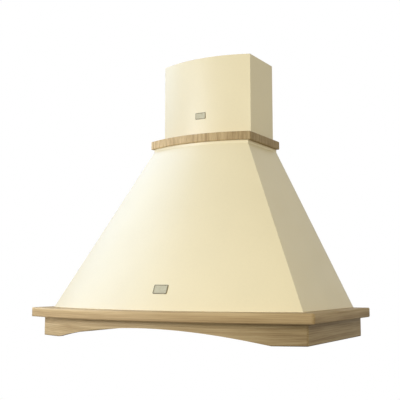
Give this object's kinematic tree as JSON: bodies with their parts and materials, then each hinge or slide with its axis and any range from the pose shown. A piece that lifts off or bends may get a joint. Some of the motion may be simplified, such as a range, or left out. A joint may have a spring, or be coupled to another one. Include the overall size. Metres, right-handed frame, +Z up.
{
  "type": "range hood",
  "caption": "Wall range hood with a bowed painted dome, wooden moulding, arched valance and band, telescopic chimney, hinged grease filters, lamps, push buttons and an inner blower.",
  "frame": {"origin": "on the wall plane, midway between the two hanging holes", "axes": "+Z up, +X to the right seen from the front, +Y into the wall"},
  "size_m": [0.9, 0.5139, 0.84],
  "materials": {
    "cream_paint": "satin cream enamel on sheet steel",
    "ash_wood": "light ash with clear matt lacquer, grain along each rail",
    "galvanised": "galvanised sheet",
    "stainless": "brushed stainless sheet",
    "filter_aluminium": "satin aluminium",
    "filter_mesh": "layered expanded mesh",
    "steel_wire": "plated steel",
    "lamp_trim": "satin chrome",
    "lamp_glass": "frosted glass",
    "lamp_housing": "white lacquered",
    "control_plastic": "fine grained",
    "button_plastic": "smooth",
    "switch_plastic": "moulded",
    "collar_plastic": "moulded",
    "flap_plastic": "moulded",
    "fan_plastic": "moulded",
    "motor_paint": "dark lacquer",
    "shaft_steel": "ground steel",
    "box_plastic": "light grey moulded",
    "capacitor_shell": "white shell",
    "magnet_plastic": "moulded",
    "badge_metal": "warm satin metal, blank",
    "screw_steel": "zinc plated"
  },
  "bodies": {
    "hood": {"dome_shell": "cream_paint", "chimney_lower": "cream_paint", "moulding_front": "ash_wood", "moulding_left": "ash_wood", "moulding_right": "ash_wood", "valance_front": "ash_wood", "valance_left": "ash_wood", "valance_right": "ash_wood", "band_front": "ash_wood", "band_left": "ash_wood", "band_right": "ash_wood", "back_panel": "galvanised", "hanging_plates": "galvanised", "top_plate": "galvanised", "chimney_clips": "galvanised", "blower_brackets": "galvanised", "blower_housing_left": "galvanised", "blower_housing_right": "galvanised", "inlet_guards": "galvanised", "motor_plate": "galvanised", "underside_panel": "stainless", "filter_catches": "magnet_plastic", "lamp_ring_left": "lamp_trim", "lamp_ring_right": "lamp_trim", "lamp_lens_left": "lamp_glass", "lamp_lens_right": "lamp_glass", "lamp_module_left": "lamp_housing", "lamp_module_right": "lamp_housing", "control_bezel": "control_plastic", "switch_body": "switch_plastic", "damper_collar": "collar_plastic", "collar_ring": "galvanised", "damper_pin": "shaft_steel", "cable_gland": "collar_plastic", "motor_body": "motor_paint", "terminal_box": "box_plastic", "terminal_cover": "box_plastic", "terminal_block": "switch_plastic", "capacitor": "capacitor_shell", "wood_screws": "screw_steel", "sheet_screws": "screw_steel", "chimney_badge": "badge_metal", "dome_badge": "badge_metal"},
    "chimney_upper_cover": {"chimney_upper": "cream_paint", "chimney_upper_bracket": "galvanised"},
    "fan": {"motor_shaft": "shaft_steel", "impeller_left": "fan_plastic", "impeller_right": "fan_plastic"},
    "flap_front": {"damper_flap_front": "flap_plastic"},
    "flap_rear": {"damper_flap_rear": "flap_plastic"},
    "filter_left": {"filter_frame_left": "filter_aluminium", "filter_mesh_left": "filter_mesh"},
    "filter_right": {"filter_frame_right": "filter_aluminium", "filter_mesh_right": "filter_mesh"},
    "handle_left": {"filter_handle_left": "steel_wire"},
    "handle_right": {"filter_handle_right": "steel_wire"},
    "light_key": {"light_button": "button_plastic"},
    "low_speed_key": {"low_speed_button": "button_plastic"},
    "mid_speed_key": {"mid_speed_button": "button_plastic"},
    "high_speed_key": {"high_speed_button": "button_plastic"}
  },
  "joints": [
    {"name": "chimney_slide", "type": "slide", "parent": "hood", "child": "chimney_upper_cover", "axis": [0, 0, 1], "range_m": [0, 0.17]},
    {"name": "fan_spin", "type": "hinge", "parent": "hood", "child": "fan", "pos_m": [0, -0.15, -0.0715], "axis": [1, 0, 0], "continuous": true},
    {"name": "flap_front_swing", "type": "hinge", "parent": "hood", "child": "flap_front", "pos_m": [0, -0.088, 0.096], "axis": [-1, 0, 0], "range_deg": [0, 80]},
    {"name": "flap_rear_swing", "type": "hinge", "parent": "hood", "child": "flap_rear", "pos_m": [0, -0.088, 0.096], "axis": [1, 0, 0], "range_deg": [0, 80]},
    {"name": "filter_left_drop", "type": "hinge", "parent": "hood", "child": "filter_left", "pos_m": [-0.138, -0.0395, -0.4312], "axis": [1, 0, 0], "range_deg": [0, 75]},
    {"name": "handle_left_fold", "type": "hinge", "parent": "filter_left", "child": "handle_left", "pos_m": [-0.138, -0.318, -0.42945], "axis": [1, 0, 0], "range_deg": [0, 90]},
    {"name": "filter_right_drop", "type": "hinge", "parent": "hood", "child": "filter_right", "pos_m": [0.138, -0.0395, -0.4312], "axis": [1, 0, 0], "range_deg": [0, 75]},
    {"name": "handle_right_fold", "type": "hinge", "parent": "filter_right", "child": "handle_right", "pos_m": [0.138, -0.318, -0.42945], "axis": [1, 0, 0], "range_deg": [0, 90]},
    {"name": "light_press", "type": "slide", "parent": "hood", "child": "light_key", "axis": [0, 0, 1], "range_m": [0, 0.0025], "stiffness_N_per_m": 400, "springref_m": -0.002},
    {"name": "low_speed_press", "type": "slide", "parent": "hood", "child": "low_speed_key", "axis": [0, 0, 1], "range_m": [0, 0.0025], "stiffness_N_per_m": 400, "springref_m": -0.002},
    {"name": "mid_speed_press", "type": "slide", "parent": "hood", "child": "mid_speed_key", "axis": [0, 0, 1], "range_m": [0, 0.0025], "stiffness_N_per_m": 400, "springref_m": -0.002},
    {"name": "high_speed_press", "type": "slide", "parent": "hood", "child": "high_speed_key", "axis": [0, 0, 1], "range_m": [0, 0.0025], "stiffness_N_per_m": 400, "springref_m": -0.002}
  ]
}
